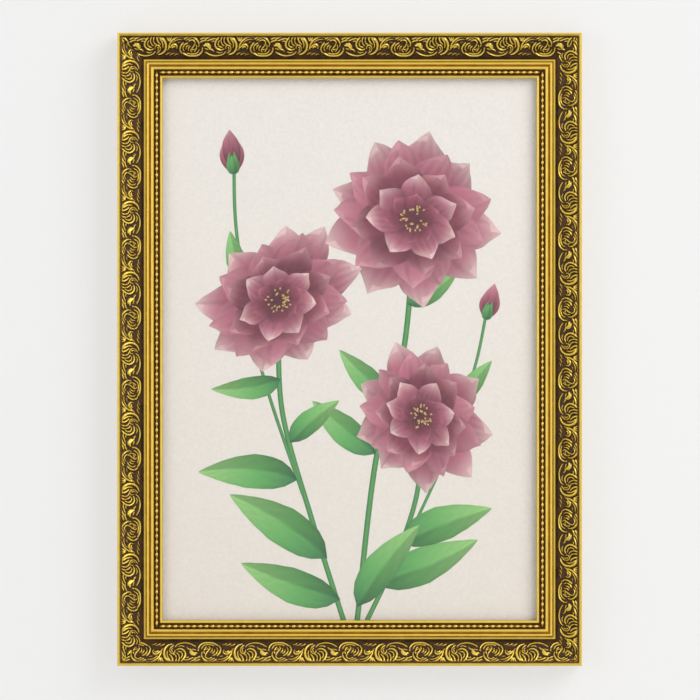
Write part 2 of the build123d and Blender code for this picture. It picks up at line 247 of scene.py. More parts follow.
def arcThrough(a, m, b, steps):
    # points of the circle through a, m and b, from a to b
    (ax, ay), (mx, my), (bx, by) = a, m, b
    d = 2 * (ax * (my - by) + mx * (by - ay) + bx * (ay - my))
    sq = [x * x + y * y for x, y in (a, m, b)]
    cx = (sq[0] * (my - by) + sq[1] * (by - ay) + sq[2] * (ay - my)) / d
    cy = (sq[0] * (bx - mx) + sq[1] * (ax - bx) + sq[2] * (mx - ax)) / d
    start, mid, end = [math.atan2(y - cy, x - cx) for x, y in (a, m, b)]
    turn = (end - start) % (2 * math.pi)
    if (mid - start) % (2 * math.pi) > turn:
        turn -= 2 * math.pi
    r = math.hypot(ax - cx, ay - cy)
    return [(cx + r * math.cos(start + turn * i / steps), cy + r * math.sin(start + turn * i / steps))
            for i in range(steps + 1)]


def stickOutline(p):
    # rows of (u, v, glazeAndShade, rubbed): glazeAndShade is the umber left in a place together with painted shade,
    # high in the hollows and at the beads' feet; rubbed where streaks show
    rows = []

    def run(points, glazeAndShade, rubbed=0.0):
        values = glazeAndShade if isinstance(glazeAndShade, (list, tuple)) else [glazeAndShade] * len(points)
        rows.extend((u, v, g, rubbed) for (u, v), g in zip(points, values))

    # a bead is painted lighter at its crown and darker towards its feet: umber glaze and painted shade
    def bead(a, m, b, foot, crown, rubbed=0.0):
        points = arcThrough(a, m, b, p["arcSteps"])
        shares = [abs(2 * i / p["arcSteps"] - 1) ** 2.5 for i in range(len(points))]
        run(points, [crown + (foot - crown) * share for share in shares], rubbed)

    run([(0, p["lipTop"]), (0, p["rebateDepth"]), (p["lipWidth"], p["rebateDepth"]),
         (p["lipWidth"], p["backInset"]), (p["side"] + 0.4, p["backInset"])], [0.5, 0.9, 0.9, 0.9, 0.5])
    run([(p["side"] + 0.4, p["baseBand"]), (p["beadFoot"], p["baseBand"])], [0.15, 0.7], 0.6)
    beadMid = (p["baseBand"] + p["baseBead"]) / 2
    bead((p["beadFoot"], p["baseBand"]), (p["beadFoot"] + p["beadBulge"], beadMid),
         (p["beadFoot"], p["baseBead"]), 0.55, 0.1, 0.6)
    coveMid = (p["baseBead"] + p["coveTop"]) / 2
    bead((p["beadFoot"], p["baseBead"]), (p["beadFoot"] - p["coveSag"], coveMid),
         (p["beadFoot"], p["coveTop"]), 0.25, 0.45, 0.5)
    run([(p["sideFillet"], p["coveTop"]), (p["sideFillet"], p["sideFilletTop"]),
         (p["side"], p["sideFilletTop"])], [0.2, 0.4, 0.3], 0.5)
    run([(p["side"], p["bandTop"])], 0.12, 1.0)
    bead((p["side"], p["bandTop"]), ((p["side"] + p["topBead"]) / 2, p["bandTop"] + p["topCrown"]),
         (p["topBead"], p["bandTop"]), 0.3, 0.08, 0.3)
    run([(p["topBead"] - 0.1, p["bandTop"]), (p["bandEnd"], p["bandTop"])], [0.32, 0.45])
    # the valley below the scroll band is painted near black: umber glaze and painted shade
    run([(p["band"], p["valley"]), (p["filletEnd"] + 0.15, p["valley"]), (p["filletEnd"], p["valley"])],
        [0.93, 0.99, 0.99])
    run([(p["filletEnd"], p["filletTop"]), (p["fillet"], p["filletTop"])], [0.25, 0.3])
    coveMidU = p["broadBeadEnd"] + (p["fillet"] - p["broadBeadEnd"]) / 4
    run(arcThrough((p["fillet"], p["filletTop"]), (coveMidU, (p["filletTop"] + p["grooveFloor"]) / 2),
                   (p["broadBeadEnd"], p["grooveFloor"]), 6), 0.7)
    bead((p["broadBeadEnd"], p["grooveFloor"]),
         ((p["broadBead"] + p["broadBeadEnd"]) / 2, p["grooveFloor"] + p["broadCrown"]),
         (p["broadBead"], p["grooveFloor"]), 0.55, 0.05)
    run([(p["broadBead"] - 0.12, p["grooveFloor"]), (p["innerBead"] + 0.12, p["grooveFloor"])], 0.68)
    bead((p["innerBead"], p["grooveFloor"]),
         ((p["channelEnd"] + p["innerBead"]) / 2, p["grooveFloor"] + p["innerCrown"]),
         (p["channelEnd"], p["grooveFloor"]), 0.5, 0.05)
    # the pearl channel is painted dark: umber glaze and painted shade
    run([(p["channelEnd"], p["channelFloor"]), (p["sightEdge"], p["channelFloor"])], [0.92, 0.92])
    bevel = (p["sightTop"] - p["lipTop"]) / math.sqrt(2)
    bead((p["sightEdge"], p["sightTop"]), (p["sightEdge"] - bevel, p["lipTop"] + bevel), (0, p["lipTop"]),
         0.35, 0.1)
    clean = []
    for row in rows:
        if not clean or math.hypot(row[0] - clean[-1][0], row[1] - clean[-1][1]) > 1e-4:
            clean.append(row)
    if math.hypot(clean[0][0] - clean[-1][0], clean[0][1] - clean[-1][1]) < 1e-4:
        clean.pop()
    return clean


def stickPoint(side, s, u, v):
    outward, along, reach, _, _ = sticks[side]
    return Vector((0, backY, centreZ)) + outward * (reach + u) + forward * v + along * s


def makeRail(side, outline):
    length = sticks[side][3]
    bm = bmesh.new()
    stations = 24  # enough for the uv to stay even along the mitres
    uvRows, glazeAndShade, rubbed = [], [], []
    rings = []
    arcLength = np.cumsum([0] + [math.hypot(outline[i][0] - outline[i - 1][0], outline[i][1] - outline[i - 1][1])
                                 for i in range(1, len(outline))])
    for station in range(stations + 1):
        ring = []
        for k, (u, v, g, r) in enumerate(outline):
            half = length / 2 + u * mm
            s = half * (2 * station / stations - 1)
            ring.append(bm.verts.new(stickPoint(side, s, u * mm, v * mm)))
            uvRows.append((s, arcLength[k] * mm))
            glazeAndShade.append(g)
            rubbed.append(r)
        rings.append(ring)
    for a, b in zip(rings, rings[1:]):
        for k in range(len(outline)):
            n = (k + 1) % len(outline)
            bm.faces.new((a[k], a[n], b[n], b[k]))
    bm.faces.new(rings[0])
    bm.faces.new(list(reversed(rings[-1])))
    bmesh.ops.recalc_face_normals(bm, faces=bm.faces)
    mesh = bpy.data.meshes.new(f"rail_{side}_gilded")
    bm.to_mesh(mesh)
    bm.free()
    addStickUv(mesh, uvRows)
    pointAttribute(mesh, "glazeAndShade", glazeAndShade)
    pointAttribute(mesh, "rubbed", rubbed)
    rail = newObject(f"gilded_stick_{side}", mesh, railGold)
    mesh.materials.append(bareWood)
    inward = -sticks[side][0]
    for face in mesh.polygons:
        middle = face.center - Vector((0, backY, centreZ))
        behind = face.normal.y > 0.99
        inRebate = face.normal.dot(inward) > 0.99 and middle.dot(forward) < stick["rebateDepth"] * mm
        face.material_index = 1 if behind or inRebate else 0
    finishPiece(rail, [f"rail_{side}"])
    return rail


def addStickUv(mesh, rows):
    layer = mesh.uv_layers.new(name="stick")
    corners = np.empty(len(mesh.loops), dtype=np.int64)
    mesh.loops.foreach_get("vertex_index", corners)
    layer.data.foreach_set("uv", np.asarray(rows, dtype=np.float32)[corners].ravel())


outline = stickOutline(stick)
for side in sticks:
    makeRail(side, outline)
print("sticks made", len(outline))


# Geometry Nodes: copies of the object's own mesh in a row along X
def rowTree():
    tree = bpy.data.node_groups.new("copies in a row", "GeometryNodeTree")
    face = tree.interface
    face.new_socket("Geometry", in_out="INPUT", socket_type="NodeSocketGeometry")
    sockets = {
        "Count": face.new_socket("Count", in_out="INPUT", socket_type="NodeSocketInt"),
        "First": face.new_socket("First", in_out="INPUT", socket_type="NodeSocketFloat"),
        "Pitch": face.new_socket("Pitch", in_out="INPUT", socket_type="NodeSocketFloat"),
        "Weld": face.new_socket("Weld", in_out="INPUT", socket_type="NodeSocketFloat"),
        "Finish": face.new_socket("Finish", in_out="INPUT", socket_type="NodeSocketMaterial"),
    }
    face.new_socket("Geometry", in_out="OUTPUT", socket_type="NodeSocketGeometry")
    given = addNode(tree, "NodeGroupInput").outputs
    first = addNode(tree, "ShaderNodeCombineXYZ", {}, {"X": given["First"]})
    step = addNode(tree, "ShaderNodeCombineXYZ", {}, {"X": given["Pitch"]})
    row = addNode(tree, "GeometryNodeMeshLine", {"mode": "OFFSET"},
                  {"Count": given["Count"], "Start Location": first.outputs[0], "Offset": step.outputs[0]})
    copies = addNode(tree, "GeometryNodeInstanceOnPoints", {},
                     {"Points": row.outputs[0], "Instance": given["Geometry"]})
    real = addNode(tree, "GeometryNodeRealizeInstances", {}, {"Geometry": copies.outputs[0]})
    welded = addNode(tree, "GeometryNodeMergeByDistance", {},
                     {"Geometry": real.outputs[0], "Distance": given["Weld"]})
    finished = addNode(tree, "GeometryNodeSetMaterial", {},
                       {"Geometry": welded.outputs[0], "Material": given["Finish"]})
    addNode(tree, "NodeGroupOutput", {}, {0: finished.outputs[0]})
    return tree, {name: socket.identifier for name, socket in sockets.items()}


copiesTree, copiesInputs = rowTree()


def copiesInRow(mesh, values):
    holder = bpy.data.objects.new("row holder", mesh)
    bpy.context.scene.collection.objects.link(holder)
    modifier = holder.modifiers.new("row", "NODES")
    modifier.node_group = copiesTree
    for name, value in values.items():
        modifier[copiesInputs[name]] = value
    depsgraph = bpy.context.evaluated_depsgraph_get()
    made = bpy.data.meshes.new_from_object(holder.evaluated_get(depsgraph))
    holder.modifiers.remove(modifier)
    bpy.data.objects.remove(holder)
    return made


# One repeat of the scroll relief. s runs along the stick and t up the band, in mm.
scroll = {
    "repeat": 37.7, "bandWidth": 12.6, "stretch": 1.035, "ground": 0.5, "cell": 0.22, "samples": 44, "crest": 1.0,
    "turnStart": 12.9,  # where the first scroll's centre lies along the repeat
    "topAbove": 8.59, "slopeTangent": 0.654,
}
# Strokes: points in order (s, t), half width, height share
scrollStrokes = [
    # the first scroll: its bold right side, its left side, the feathers between and the eye below them
    ([(12.6, 11.9), (14.6, 11.4), (16.7, 9.8), (17.6, 7.1), (17.2, 4.2), (15.7, 2.2), (13.4, 1.2)], 0.78, 1.0),
    ([(8.4, 11.6), (6.8, 9.6), (6.2, 7.1), (7.2, 5.0), (9.2, 4.1), (11.0, 4.7)], 0.62, 1.0),
    ([(8.6, 9.9), (7.8, 7.8), (8.5, 6.1), (10.3, 5.6)], 0.40, 0.9),
    ([(10.2, 12.0), (9.4, 10.0), (9.9, 7.6), (11.2, 6.3)], 0.42, 0.95),
    ([(11.5, 12.1), (11.0, 10.0), (11.5, 8.0), (12.7, 7.3)], 0.42, 0.95),
    ([(12.9, 11.9), (13.1, 10.0), (13.9, 8.4), (15.0, 7.2)], 0.55, 1.0),
    ([(14.4, 10.6), (15.6, 9.0), (16.0, 6.8), (15.6, 5.0)], 0.46, 0.95),
    ([(11.8, 4.6), (12.0, 6.3), (13.3, 7.0), (14.5, 5.8), (14.4, 3.9), (13.3, 2.6), (12.3, 1.7)], 0.36, 0.95),
    ([(12.9, 5.4), (13.4, 5.7), (13.6, 4.5), (12.9, 3.2)], 0.30, 0.8),
    ([(0.6, 2.9), (2.8, 1.5), (5.5, 0.7), (8.8, 0.9), (10.9, 1.9), (11.9, 3.2)], 0.40, 0.85),
    ([(6.9, 2.9), (8.6, 2.3), (10.2, 2.9)], 0.30, 0.7),
    # leaves between the second scroll and the first
    ([(0.6, 10.2), (2.2, 11.2), (4.3, 11.9), (6.8, 11.9)], 0.50, 0.9),
    ([(2.0, 9.4), (3.6, 10.2), (5.6, 10.8), (7.4, 10.6)], 0.42, 0.9),
    ([(4.4, 9.0), (5.4, 9.4), (6.0, 8.8)], 0.32, 0.75),
    ([(0.1, 6.6), (1.7, 6.9), (2.9, 5.6), (3.6, 4.2)], 0.85, 1.0),
    ([(0.8, 7.9), (2.3, 7.8), (3.6, 6.6), (4.0, 5.2)], 0.42, 0.85),
    ([(3.2, 4.6), (4.6, 4.2), (5.6, 2.9)], 0.38, 0.85),
    ([(0.7, 4.9), (1.8, 4.6), (2.9, 4.0)], 0.34, 0.75),
    # trefoil, stem and bud between the first scroll and the second
    ([(18.9, 9.3), (18.5, 10.8), (17.9, 11.9)], 0.36, 0.85),
    ([(19.2, 9.3), (19.4, 10.8), (19.4, 12.1)], 0.36, 0.85),
    ([(19.6, 9.3), (20.3, 10.7), (20.9, 11.9)], 0.36, 0.85),
    ([(19.0, 4.4), (19.4, 7.2), (21.2, 10.0), (24.0, 11.6), (27.4, 11.5)], 0.56, 0.95),
    ([(20.9, 8.0), (22.6, 9.6), (24.9, 10.4), (26.8, 10.1)], 0.30, 0.7),
    ([(19.7, 5.4), (20.9, 7.1), (22.4, 7.4), (23.6, 6.2), (23.2, 4.6)], 0.55, 1.0),
    ([(20.7, 5.2), (21.7, 6.2), (22.7, 5.6)], 0.55, 0.9),
    # the second scroll: its top and right side, the hook inside, its left side and feathers, its bold foot
    ([(27.2, 10.4), (29.4, 11.7), (32.2, 11.6), (34.3, 10.0), (35.3, 7.6), (34.8, 5.8)], 0.58, 1.0),
    ([(29.6, 9.2), (31.6, 10.1), (33.2, 8.9), (32.6, 6.6), (31.4, 5.0), (32.2, 4.2), (33.2, 5.0)], 0.40, 0.95),
    ([(28.2, 9.6), (29.9, 10.6), (31.6, 10.9)], 0.28, 0.7),
    ([(27.0, 8.4), (25.5, 6.4), (25.1, 4.0), (26.2, 1.9)], 0.52, 0.95),
    ([(29.2, 8.2), (27.5, 7.2), (26.7, 5.2), (27.3, 3.2)], 0.44, 0.95),
    ([(29.6, 7.0), (28.5, 6.0), (28.3, 4.4)], 0.36, 0.85),
    ([(30.6, 6.4), (29.6, 5.2), (29.8, 3.4)], 0.36, 0.85),
    ([(30.9, 4.6), (30.9, 3.4), (31.6, 2.6)], 0.34, 0.85),
    ([(33.7, 7.2), (34.0, 5.4), (33.1, 3.6), (32.4, 2.9)], 0.38, 0.85),
    ([(26.6, 2.2), (29.0, 0.9), (32.2, 0.6), (35.0, 1.2), (36.8, 3.2), (37.1, 5.4)], 0.62, 1.0),
    ([(28.6, 2.2), (31.2, 1.7), (34.0, 2.2), (35.5, 4.3)], 0.36, 0.85),
    ([(35.9, 8.6), (37.3, 9.5), (39.4, 9.7)], 0.46, 0.9),
    ([(35.9, 10.4), (37.9, 11.2), (39.2, 11.9)], 0.42, 0.9),
    ([(35.8, 11.8), (36.9, 12.0), (37.9, 11.9)], 0.32, 0.75),
    # low leaves chased in the ground
    ([(17.4, 1.0), (18.8, 2.0), (20.1, 2.2)], 0.38, 0.45),
    ([(19.6, 0.8), (21.0, 1.8), (22.4, 2.0)], 0.38, 0.45),
    ([(21.9, 0.7), (23.1, 1.5), (24.3, 1.4)], 0.34, 0.4),
    ([(17.9, 3.6), (18.6, 4.4), (18.8, 5.4)], 0.30, 0.5),
    ([(24.0, 8.2), (25.0, 8.6), (25.9, 8.4)], 0.28, 0.4),
]


def throughPoints(points, samples):
    # a Catmull-Rom line through points
    p = np.array([points[0]] + list(points) + [points[-1]], dtype=float)
    spans = len(points) - 1
    made = []
    for x in np.linspace(0, spans - 1e-9, samples):
        i = int(x)
        f = x - i
        a, b, c, d = p[i], p[i + 1], p[i + 2], p[i + 3]
        made.append(0.5 * (2 * b + (c - a) * f + (2 * a - 5 * b + 4 * c - d) * f ** 2
                           + (3 * b - a - 3 * c + d) * f ** 3))
    return np.array(made)


def scrollHeights(p):
    # height of the relief above its ground, in mm, on the cells of one repeat
    across = round(p["repeat"] / p["cell"])
    up = round(p["bandWidth"] / p["cell"])
    s, t = np.meshgrid(np.arange(across) * p["repeat"] / across, np.arange(up + 1) * p["bandWidth"] / up,
                       indexing="ij")
    share = np.linspace(0, 1, p["samples"])
    lines = []
    for points, half, high in scrollStrokes:
        lines.append((throughPoints(points, p["samples"]) * (1, p["stretch"]), half, high))
    swell = np.clip(np.sin(np.pi * share ** 0.75), 0, 1) ** 0.6
    height = np.zeros_like(s)
    for line, half, high in lines:
        widths = half * (0.28 + 0.72 * swell)
        for (ps, pt), w in zip(line, widths):
            ds = (s - ps + p["repeat"] / 2) % p["repeat"] - p["repeat"] / 2
            near = 1 - (ds ** 2 + (t - pt) ** 2) / w ** 2
            dome = high * p["crest"] * (0.45 + 0.55 * w / half) * np.sqrt(np.clip(near, 0, 1))
            height = np.maximum(height, dome)
    edge = np.clip(np.minimum(t, p["bandWidth"] - t) / 0.3, 0, 1)
    ceiling = p["topAbove"] - t * p["slopeTangent"] - p["ground"]  # no higher than the bead along the outer edge
    return s, t, np.minimum(height * edge, ceiling)


def blurred(grid, times):
    for _ in range(times):
        grid = (np.roll(grid, 1, 0) + np.roll(grid, -1, 0) + 2 * grid) / 4
        padded = np.pad(grid, ((0, 0), (1, 1)), mode="edge")
        grid = (padded[:, :-2] + padded[:, 2:] + 2 * padded[:, 1:-1]) / 4
    return grid


def scrollTile(p):
    s, t, height = scrollHeights(p)
    height = blurred(height, 1)
    crest = height - blurred(height, 14)
    # the ground is painted dark with umber and painted shade, and the high crests light with wear and a painted
    # highlight
    glazeAndShade = np.clip(0.80 - 1.15 * height - 0.9 * crest, 0, 1)
    columns, rows = s.shape
    # the tile's last column repeats its first, one repeat on
    sAll = np.vstack([s, s[:1] + p["repeat"]])
    tAll, hAll, gAll = [np.vstack([grid, grid[:1]]) for grid in (t, height, glazeAndShade)]
    verts = np.stack([sAll, tAll, hAll + p["ground"]], 2).reshape(-1, 3) * mm
    index = np.arange((columns + 1) * rows).reshape(columns + 1, rows)
    faces = np.stack([index[:-1, :-1], index[1:, :-1], index[1:, 1:], index[:-1, 1:]], 2).reshape(-1, 4)
    mesh = bpy.data.meshes.new("scroll tile")
    mesh.from_pydata(verts.tolist(), [], faces.tolist())
    pointAttribute(mesh, "glazeAndShade", gAll.ravel())
    return mesh


def makeOrnament(side, tile):
    outward, along, reach, length, firstCentre = sticks[side]
    pitch = scroll["repeat"] * mm
    longest = length / 2 + faceWidth
    first = firstCentre - scroll["turnStart"] * mm
    first -= math.ceil((first + longest) / pitch) * pitch
    count = math.ceil((longest - first) / pitch)
    mesh = copiesInRow(tile, {"Count": count, "First": first, "Pitch": pitch, "Weld": 0.01 * mm,
                              "Finish": scrollGold})
    slope = math.atan2(stick["bandTop"] - stick["valley"], stick["bandEnd"] - stick["band"])
    bm = bmesh.new()
    bm.from_mesh(mesh)
    for way in (1, -1):  # the mitre planes, seen in the flat strip
        corner = Vector((way * (length / 2 + stick["band"] * mm), 0, 0))
        plane = Vector((way, -math.cos(slope), math.sin(slope)))
        bmesh.ops.bisect_plane(bm, geom=list(bm.verts) + list(bm.edges) + list(bm.faces), dist=1e-7,
                               plane_co=corner, plane_no=plane, clear_outer=True)
    rim = [edge for edge in bm.edges if edge.is_boundary]
    skirt = bmesh.ops.extrude_edge_only(bm, edges=rim)["geom"]
    glazeAndShade = bm.verts.layers.float["glazeAndShade"]
    low = [item for item in skirt if isinstance(item, bmesh.types.BMVert)]
    for vert in low:
        vert.co.z = 0.0
        # the skirt's foot is painted dark: umber glaze and painted shade
        vert[glazeAndShade] = 0.9
    lowEdges = [item for item in skirt if isinstance(item, bmesh.types.BMEdge)]
    bmesh.ops.edgeloop_fill(bm, edges=lowEdges)
    bmesh.ops.recalc_face_normals(bm, faces=bm.faces)
    bm.to_mesh(mesh)
    bm.free()
    flat = np.empty(len(mesh.vertices) * 3)
    mesh.vertices.foreach_get("co", flat)
    flat = flat.reshape(-1, 3)
    addStickUv(mesh, flat[:, :2])
    start = np.array(stickPoint(side, 0, stick["band"] * mm, stick["valley"] * mm))
    upBand = np.array(outward * math.cos(slope) + forward * math.sin(slope))
    proud = np.array(forward * math.cos(slope) - outward * math.sin(slope))
    solid = start + flat[:, :1] * np.array(along) + flat[:, 1:2] * upBand + flat[:, 2:] * proud
    mesh.vertices.foreach_set("co", solid.ravel())
    mesh.update()
    strip = newObject(f"scroll_strip_{side}", mesh, scrollGold)
    finishPiece(strip, [f"ornament_{side}"], sharpAngle=60)
    return strip


tile = scrollTile(scroll)
for side in sticks:
    made = makeOrnament(side, tile)
    print("scroll strip", side, len(made.data.polygons))

# Pearls: oval beads on a cord-like core, threaded along the channel
pearls = {
    "pitch": 3.33, "length": 2.3, "radius": 0.8, "core": 0.34, "rings": 6, "sides": 10,
    "centreU": 3.2, "height": 8.4,
}


def pearlTile(p):
    half = p["pitch"] / 2
    stations = [-half] + [-p["length"] / 2 * math.cos(math.pi * i / p["rings"]) for i in range(p["rings"] + 1)]
    stations.append(half)
    bm = bmesh.new()
    glazeAndShadeRows = []
    rings = []
    for s in stations:
        inside = max(0.0, 1 - (2 * s / p["length"]) ** 2)
        r = max(p["core"], p["radius"] * math.sqrt(inside))
        ring = []
        for k in range(p["sides"]):
            a = 2 * math.pi * k / p["sides"]
            ring.append(bm.verts.new((s * mm, r * math.cos(a) * mm, r * math.sin(a) * mm)))
            # the pearls' backs, turned to the channel, are painted darker: umber glaze and painted shade
            up = math.sin(a) * r / p["radius"]
            glazeAndShadeRows.append(min(1.0, max(0.0, 0.75 - 0.75 * up)))
        rings.append(ring)
    for a, b in zip(rings, rings[1:]):
        for k in range(p["sides"]):
            n = (k + 1) % p["sides"]
            bm.faces.new((a[k], b[k], b[n], a[n]))
    bmesh.ops.recalc_face_normals(bm, faces=bm.faces)
    mesh = bpy.data.meshes.new("pearl tile")
    bm.to_mesh(mesh)
    bm.free()
    pointAttribute(mesh, "glazeAndShade", glazeAndShadeRows)
    return mesh


def makePearls(side, tile):
    outward, along, reach, length, _ = sticks[side]
    pitch = pearls["pitch"] * mm
    run = length + 2 * pearls["centreU"] * mm
    count = math.floor(run / pitch)
    mesh = copiesInRow(tile, {"Count": count, "First": -(count - 1) / 2 * pitch, "Pitch": pitch,
                              "Weld": 0.01 * mm, "Finish": pearlGold})
    bm = bmesh.new()
    bm.from_mesh(mesh)
    bmesh.ops.holes_fill(bm, edges=[edge for edge in bm.edges if edge.is_boundary])
    bmesh.ops.recalc_face_normals(bm, faces=bm.faces)
    bm.to_mesh(mesh)
    bm.free()
    flat = np.empty(len(mesh.vertices) * 3)
    mesh.vertices.foreach_get("co", flat)
    flat = flat.reshape(-1, 3)
    addStickUv(mesh, flat[:, :2])
    start = np.array(stickPoint(side, 0, pearls["centreU"] * mm, pearls["height"] * mm))
    solid = (start + flat[:, :1] * np.array(along) + flat[:, 1:2] * np.array(outward)
             + flat[:, 2:] * np.array(forward))
    mesh.vertices.foreach_set("co", solid.ravel())
    mesh.update()
    strip = newObject(f"pearl_row_{side}", mesh, pearlGold)
    finishPiece(strip, [f"pearl_strip_{side}"], sharpAngle=50)


beadTile = pearlTile(pearls)
for side in sticks:
    makePearls(side, beadTile)
print("pearls made")

# The print: a made-up spray of round-petalled flowers, drawn in flat films of ink on the sheet.
# Places are in mm from the middle of the sheet, right and up.
printed = {
    "sheetBack": 3.3, "sheetFace": 3.44, "inkFace": 3.46, "inkStep": 0.0075, "film": 0.004, "width": 210.0,
    # the sheet is painted a little darker and warmer towards the bottom: painted shade
    "height": 300.0, "paperHigh": "#F1ECE6", "paperShadedLow": "#EFE7DE", "rows": 16, "columns": 11, "seed": 7,
}
maroon, wine, rose, pink, blush = "#5E2436", "#8A3F52", "#B3677A", "#CE949D", "#E6C3C2"
darkGreen, midGreen, leafGreen, paleGreen = "#2F6B46", "#3F8350", "#62A75C", "#93C47A"
# Flower: centre, size, squash and its angle, turn
flowers = [
    ((34, 70), 1.06, 0.90, 150, 0), ((-38, 26), 0.98, 0.82, 215, 17), ((38, -36), 0.88, 0.86, 120, 31),
]
# Ring of petals: how many, length, width, ripple, turn, shades from root to tip
petalRings = [
    (9, 47, 27, 1.6, 0, (wine, rose, blush)), (9, 41, 25, 1.5, 20, (wine, rose, pink)),
    (8, 33, 22, 1.3, 8, (maroon, wine, pink)), (7, 24, 17, 1.0, 30, (maroon, rose, blush)),
    (6, 15, 12, 0.7, 11, (maroon, wine, rose)),
]
# Stem: its points, half width
stems = [
    ([(34, 56), (29, 0), (14, -60), (4, -146)], 1.5), ([(-38, 14), (-36, -34), (-20, -92), (-3, -146)], 1.4),
    ([(38, -46), (36, -78), (24, -114), (9, -146)], 1.3), ([(-62, 96), (-60, 58), (-48, -8), (-25, -78)], 0.9),
    ([(73, 18), (67, -10), (52, -56), (28, -108)], 0.8),
]
# Leaf: root, heading in degrees, length, width, bend
leaves = [
    ((14, -56), 146, 44, 15, -0.10), ((24, -28), 146, 40, 13, -0.16), ((-28, -70), 163, 52, 18, 0.22),
    ((27, -104), 30, 52, 18, -0.16), ((-12, -112), 140, 62, 20, 0.12), ((12, -124), 12, 60, 19, 0.16),
    ((-5, -134), 168, 56, 18, -0.14), ((4, -138), 64, 54, 17, -0.2), ((-56, 36), 118, 28, 10, -0.2),
    ((31, 24), 22, 34, 11, 0.25), ((-37, -16), 205, 36, 12, -0.3), ((-32, -50), 52, 34, 12, -0.2),
    ((60, -30), 70, 28, 10, -0.25),
]
# Bud: root, heading, length
buds = [((-62, 94), 96, 24), ((73, 16), 76, 20)]


def shadeAt(shades, share):
    table = np.array([toLinear(shade)[:3] for shade in shades])
    place = np.clip(share, 0, 1) * (len(table) - 1)
    low = np.minimum(place.astype(int), len(table) - 2)
    return table[low] + (table[low + 1] - table[low]) * (place - low)[..., None]


def addFilm(ink, x, y, colours, depth, tilt):
    # a thin closed film over a grid of points, one side of it a little proud of the other
    n, m = x.shape
    side = np.linspace(-1, 1, m)[None, :] * tilt + np.zeros((n, 1))
    face = printed["inkFace"] + depth * printed["inkStep"] + side
    start = len(ink["verts"])
    for level in (face, face - printed["film"]):
        ink["verts"].extend(np.stack([x, y, level], 2).reshape(-1, 3).tolist())
        ink["colours"].extend(np.clip(colours, 0, 1).reshape(-1, 3).tolist())
    top = np.arange(n * m).reshape(n, m) + start
    quads = np.stack([top[:-1, :-1], top[:-1, 1:], top[1:, 1:], top[1:, :-1]], 2).reshape(-1, 4)
    rim = np.concatenate([top[0, :-1], top[:-1, -1], top[-1, :0:-1], top[:0:-1, 0]])
    after = np.roll(rim, -1)
    walls = np.stack([rim, rim + n * m, after + n * m, after], 1)
    ink["faces"].extend(quads.tolist() + (quads[:, ::-1] + n * m).tolist() + walls.tolist())


def petalFilm(ink, root, heading, length, width, bend, ripple, shades, depth, tilt, squash=None, leaf=False):
    luck = ink["luck"]
    t = np.sin(np.pi / 2 * np.linspace(0, 1, printed["rows"]))[:, None]  # closer rows near the round tip
    a = np.linspace(-1, 1, printed["columns"])[None, :]
    if leaf:
        half = width / 2 * np.sin(np.pi * t ** 0.8) ** 0.85 * (1 + 0.07 * np.abs(np.sin(t * 22))) + 0.1
    else:
        half = width / 2 * (0.16 + 0.84 * np.sin(np.pi / 2 * np.clip(t / 0.66, 0, 1))) \
            * np.sqrt(np.clip(1 - t ** 6, 0.0006, 1))
    wave = ripple * t ** 3 * (1 - t ** 12) * np.cos(a * luck.uniform(4, 6) + luck.uniform(0, 6))
    cup = 0.12 * length * t * a ** 2 * (0 if leaf else 1)
    ahead = length * t + wave - cup + 0 * a
    aside = half * a + bend * length * t ** 2
    turn = math.radians(heading)
    x = root[0] + ahead * math.cos(turn) - aside * math.sin(turn)
    y = root[1] + ahead * math.sin(turn) + aside * math.cos(turn)
    if squash:
        (cx, cy), flat, angle = squash
        c, s = math.cos(math.radians(angle)), math.sin(math.radians(angle))
        along, over = (x - cx) * c + (y - cy) * s, ((y - cy) * c - (x - cx) * s) * flat
        x, y = cx + along * c - over * s, cy + along * s + over * c
    colours = shadeAt(shades, t ** (0.8 if leaf else 2.0) + 0 * a)
    if leaf:
        veins = np.abs(np.sin(t * 24 - np.abs(a) * 5))
        tone = np.where(a > 0, 1.18, 0.80) * (0.9 + 0.16 * veins) * (1 + 0.5 * np.exp(-(a / 0.1) ** 2))
    else:
        lines = np.cos(a * np.pi * luck.integers(4, 6) + luck.uniform(0, 6) * t)
        tone = (1 - 0.34 * np.clip(lines, 0, 1) ** 3 * (1.2 - 0.7 * t)) * (1 + 0.14 * a)
        tone = tone * luck.uniform(0.84, 1.10)
    edge = np.clip((np.abs(a) - 0.72) / 0.28, 0, 1)
    tone = tone * (1 - (0.18 if leaf else 0.30) * edge * (1 - 0.5 * t))
    addFilm(ink, x, y, colours * tone[..., None], depth, tilt)


def lineFilm(ink, points, half, shades, depth):
    line = throughPoints(points, 40)
    way = np.gradient(line, axis=0)
    way = way / np.linalg.norm(way, axis=1)[:, None]
    a = np.linspace(-1, 1, 5)[None, :]
    x = line[:, :1] - way[:, 1:] * half * a
    y = line[:, 1:] + way[:, :1] * half * a
    colours = shadeAt(shades, (a + 1) / 2 + np.zeros((len(line), 1)))
    addFilm(ink, x, y, colours, depth, 0.0)


